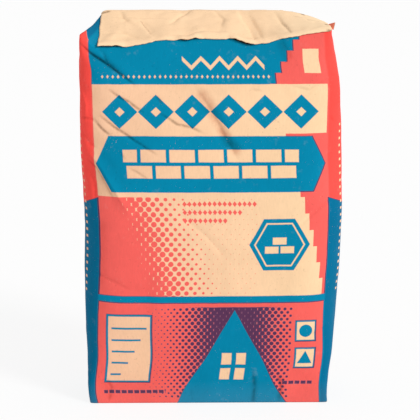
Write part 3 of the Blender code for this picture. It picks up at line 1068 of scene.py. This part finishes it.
def cover_path(x, way):
    """A point of the folded end: way runs from 0 at the ridge to 1 at the front fold, and past both."""
    half = END_WIDE / 2
    if way < 0:
        return Vector((x, half, float(ridge_height(x)) + way * END_WIDE))
    if way > 1:
        return Vector((x, -half, float(fold_height(x)) - (way - 1) * END_WIDE))
    return Vector((x, half - way * END_WIDE, float(top_height(x, 1 - way))))


def lift_at(x, to_edge):
    """How far the sheet stands off its end near the loose front edge, in metres."""
    lift = 0.0
    for middle, reach, tall in LIFTED:
        near = max(0.0, 1.0 - abs(x - middle) / reach)
        lift += tall * float(eased(near * 1.6)) * float(eased(1.0 - to_edge / 0.016))
    return lift


cover_columns = np.linspace(COVER_LEFT, COVER_RIGHT, COVER_CELLS_LONG + 1)
cover_rows = np.linspace(0, 1, COVER_CELLS_WIDE + 1)
flat = np.array([(x, 1.0 - way) for way in cover_rows for x in cover_columns])
flat_depth = np.stack([flat[:, 0], flat[:, 1] * END_WIDE], 1)
cover_inward = np.zeros(len(flat))
for line, depth, half_width, step in COVER_CREASES:
    line = [(x, back * END_WIDE) for x, back in line]
    cover_inward += crease_depth(flat_depth, line, depth, half_width, step)
cover_shade_and_dirt = np.zeros(len(flat))
for line, half_width, darkness in COVER_SHADE_AND_DIRT:
    distance, _, _ = near_line(flat_depth, [(x, back * END_WIDE) for x, back in line])
    cover_shade_and_dirt = np.maximum(cover_shade_and_dirt, darkness * np.clip(1.3 - distance / half_width, 0, 1))
cover_points = []
for index, (x, back) in enumerate(flat):
    ragged = noise.noise(Vector((x * 60.0, 3.0, 0.0))) * 0.0012
    ragged += noise.noise(Vector((x * 220.0, 7.0, 0.0))) * 0.0006
    start = -COVER_OVER_RIDGE / END_WIDE
    end = 1.0 + (COVER_OVER_FRONT + ragged) / END_WIDE
    way = start + (1.0 - back) * (end - start)
    side_wander = noise.noise(Vector((way * 5.0, 11.0, 0.0))) * 0.0015 * abs(x) / 0.15
    place = cover_path(x + side_wander, way) + sack.location
    place, normal, _, _ = sack_shell.find_nearest(place)
    outward = (normal + Vector((0, -0.25 * way, 0.6))).normalized()
    relief = crumple(place + Vector((0.7, 0, 0)), COVER_CRUMPLES) / 1000 + COVER_FREE - cover_inward[index]
    at_sides = float(eased((x - COVER_LEFT) / 0.02)) * float(eased((COVER_RIGHT - x) / 0.02))
    at_ends = float(eased(way / 0.12)) * float(eased((end - way) / 0.10))
    relief *= 0.25 + 0.75 * at_sides * at_ends
    over_sleeve = SLEEVE_THICK * float(eased((x - SLEEVE_FROM) / 0.010))
    over_sleeve *= SLEEVE_FRONT < place.y < SLEEVE_BACK
    lift = lift_at(x, (end - way) * END_WIDE)
    forward = Vector((0, -0.45, 0.90))
    height = COVER_CLEAR + max(0.0, relief) + over_sleeve
    cover_points.append(place + outward * height + forward * lift)
cover_faces = []
for j in range(COVER_CELLS_WIDE):
    for i in range(COVER_CELLS_LONG):
        a = j * (COVER_CELLS_LONG + 1) + i
        b = a + COVER_CELLS_LONG + 1
        cover_faces.append((a, b, b + 1, a + 1))
cover, cover_mesh = new_piece("top_cover", cover_points, cover_faces)
layer = cover_mesh.attributes.new("shade_and_dirt", "FLOAT", "POINT")
layer.data.foreach_set("value", cover_shade_and_dirt.astype(np.float32))
plies = cover.modifiers.new("paper", "SOLIDIFY")
plies.thickness = COVER_PAPER
plies.offset = 1.0
plies.material_offset_rim = 1

# Plain kraft: the same paper without ink, a little paler, for both covers, with painted light at the valve
# end.
# Its cut edge is paler still.
PLAIN_CLEAN = (0.92, 0.635, 0.395)
PLAIN_STAINED = (0.79, 0.50, 0.30)
PAINTED_LIGHT_AT_VALVE = (0.98, 0.80, 0.54)
SPOT_SHADE_AND_DIRT = (0.22, 0.16, 0.13)
plain, tree, shader, sheet, place = start_paper("plain kraft", PLAIN_CLEAN, PLAIN_STAINED, 0.02)
# Painted light: the cover grows paler towards the valve end
painted_valve_light = ramped(tree, parts_of(tree, place)["X"], 0.07, 0.14, 0.0, 0.35)
colour = blended(tree, painted_valve_light, sheet.outputs["Paper"], PAINTED_LIGHT_AT_VALVE)
broken = ramped(tree, noise_field(tree, place, 260.0, 3.0, 0.6), 0.34, 0.50, 0.45, 1.0)
# Painted shade and dirt: specks, lines along creases and the valve's mouth
colour = darkened(tree, maths(tree, "MULTIPLY", mark(tree, "shade_and_dirt"), broken), colour, SPOT_SHADE_AND_DIRT)
tree.links.new(colour, shader.inputs["Base Color"])
tree.links.new(sheet.outputs["Roughness"], shader.inputs["Roughness"])


def bare_paper(name, clean, stained, dust):
    """A paper material that shows the kraft group as it is."""
    made, tree, shader, sheet, _ = start_paper(name, clean, stained, dust)
    tree.links.new(sheet.outputs["Paper"], shader.inputs["Base Color"])
    tree.links.new(sheet.outputs["Roughness"], shader.inputs["Roughness"])
    return made


cover_mesh.materials.append(plain)
cover_mesh.materials.append(bare_paper("cut edge of kraft", (0.96, 0.74, 0.53), (0.85, 0.60, 0.40), 0.02))
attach(cover, "root")
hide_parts("top_cover_patch")

# The filling valve is a flat sleeve of two plies under the cover's right end. Its lip sticks out past the
# corner, cut slantwise, and curls up a little, so its mouth stands open.
LIP_FRONT = -0.039
LIP_BACK = 0.006
LIP_ROOT = 0.150
LIP_REACH_FRONT = 0.1684
LIP_REACH_BACK = 0.1754
LIP_CURL = 0.0016
LIP_GAPE = 0.0034
LIP_PLY = 0.0003
LIP_CELLS_ROUND = 36
LIP_CELLS_LONG = 16
lip_points = []
for j in range(LIP_CELLS_LONG + 1):
    out = j / LIP_CELLS_LONG
    for i in range(LIP_CELLS_ROUND):
        turn = 2 * math.pi * i / LIP_CELLS_ROUND
        share = 0.5 - 0.5 * math.cos(turn)
        upper = math.sin(turn) > 0
        y = LIP_FRONT + (LIP_BACK - LIP_FRONT) * share
        reach = LIP_REACH_FRONT + (LIP_REACH_BACK - LIP_REACH_FRONT) * share
        x = LIP_ROOT + (reach - LIP_ROOT) * out
        beyond = float(eased((x - 0.160) / (reach - 0.158)))
        ply = abs(math.sin(turn)) ** 0.7
        opening = (0.0002 + (LIP_GAPE if upper else 0.0) * beyond) * ply
        curl = LIP_CURL * beyond * (1.8 * share - 0.8)
        start, normal, _, _ = sack_shell.find_nearest(Vector((min(x, 0.1655), y, 0.56)))
        z = start.z + 0.0004 + curl + (opening + LIP_PLY if upper else 0.0)
        z += noise.noise(Vector((x * 150.0, y * 150.0, 4.0 + upper))) * 0.0004 * beyond
        lip_points.append((x, y, z))
lip_faces = []
for j in range(LIP_CELLS_LONG):
    for i in range(LIP_CELLS_ROUND):
        a, b = j * LIP_CELLS_ROUND + i, j * LIP_CELLS_ROUND + (i + 1) % LIP_CELLS_ROUND
        lip_faces.append((a, a + LIP_CELLS_ROUND, b + LIP_CELLS_ROUND, b))
lip, lip_mesh = new_piece("valve_lip", lip_points, lip_faces)
plies = lip.modifiers.new("ply", "SOLIDIFY")
plies.thickness = LIP_PLY
plies.offset = -1.0
plies.material_offset = 1
plies.material_offset_rim = 1

# Outside it carries red ink, rubbed down towards the kraft below it. Inside it is brown, darkened with
# painted shade.
lip_mesh.materials.append(bare_paper("red printed kraft", (0.78, 0.17, 0.09), (0.50, 0.12, 0.06), 0.05))
lip_mesh.materials.append(bare_paper("inside kraft with painted shade", (0.42, 0.24, 0.13), (0.25, 0.14, 0.08), 0.3))
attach(lip, "root")
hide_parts("valve_sleeve")

# The bottom cover is the same plain sheet, pasted over the bottom end and pressed flat by the sack's weight.
# Its solid stays, in the plain kraft.
bottom_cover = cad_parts["bottom_cover_patch"]
for slot in bottom_cover.material_slots:
    slot.material = plain

# Floor: a plain pale sheet, not part of the sack. Seen from the camera it is lit up almost to white, as the
# studio's white walls are, and only a faint shadow stays where the sack stands.
FLOOR_GLOW = 0.85
floor_corners = ((-30, -30, 0), (30, -30, 0), (30, 30, 0), (-30, 30, 0))
floor, floor_mesh = new_piece("floor", floor_corners, [(0, 1, 2, 3)])
pale = bpy.data.materials.new("pale floor")
pale.use_nodes = True
tree = pale.node_tree
matt = tree.nodes["Principled BSDF"]
matt.inputs["Base Color"].default_value = (0.95, 0.95, 0.95, 1)
glow = tree.nodes.new("ShaderNodeEmission")
from_camera = tree.nodes.new("ShaderNodeLightPath").outputs["Is Camera Ray"]
lit_up = tree.nodes.new("ShaderNodeMixShader")
tree.links.new(maths(tree, "MULTIPLY", from_camera, FLOOR_GLOW), lit_up.inputs["Fac"])
tree.links.new(matt.outputs["BSDF"], lit_up.inputs[1])
tree.links.new(glow.outputs["Emission"], lit_up.inputs[2])
tree.links.new(lit_up.outputs["Shader"], tree.nodes["Material Output"].inputs["Surface"])
floor_mesh.materials.append(pale)

# Studio: white walls all round, and one broad key light from above on the left. The camera sees the walls as
# pure white, but they light the sack less than that.
SKY = 0.62
world = bpy.data.worlds.new("studio")
world.use_nodes = True
tree = world.node_tree
walls = tree.nodes["Background"]
walls.inputs["Color"].default_value = (1, 1, 1, 1)
from_camera = tree.nodes.new("ShaderNodeLightPath").outputs["Is Camera Ray"]
tree.links.new(maths(tree, "MULTIPLY_ADD", from_camera, 1.0 - SKY, SKY), walls.inputs["Strength"])
bpy.context.scene.world = world

key = bpy.data.lights.new("key light", "SUN")
key.energy = 2.15
key.angle = math.radians(14)
key_light = bpy.data.objects.new("key light", key)
key_light.rotation_euler = Vector((-0.72, 0.55, -0.56)).to_track_quat("-Z", "Y").to_euler()
bpy.context.collection.objects.link(key_light)
bpy.context.scene.view_settings.view_transform = "Standard"

# Camera: a long lens, a little above the sack's top and to the left, looking down on it
camera_data = bpy.data.cameras.new("camera")
camera_data.lens = 103.7
camera_data.sensor_width = 36
camera = bpy.data.objects.new("camera", camera_data)
camera.location = (-0.02, -1.7, 0.70)
camera.rotation_euler = (Vector((0.0, 0, 0.2808)) - camera.location).to_track_quat("-Z", "Y").to_euler()
bpy.context.collection.objects.link(camera)
bpy.context.scene.camera = camera
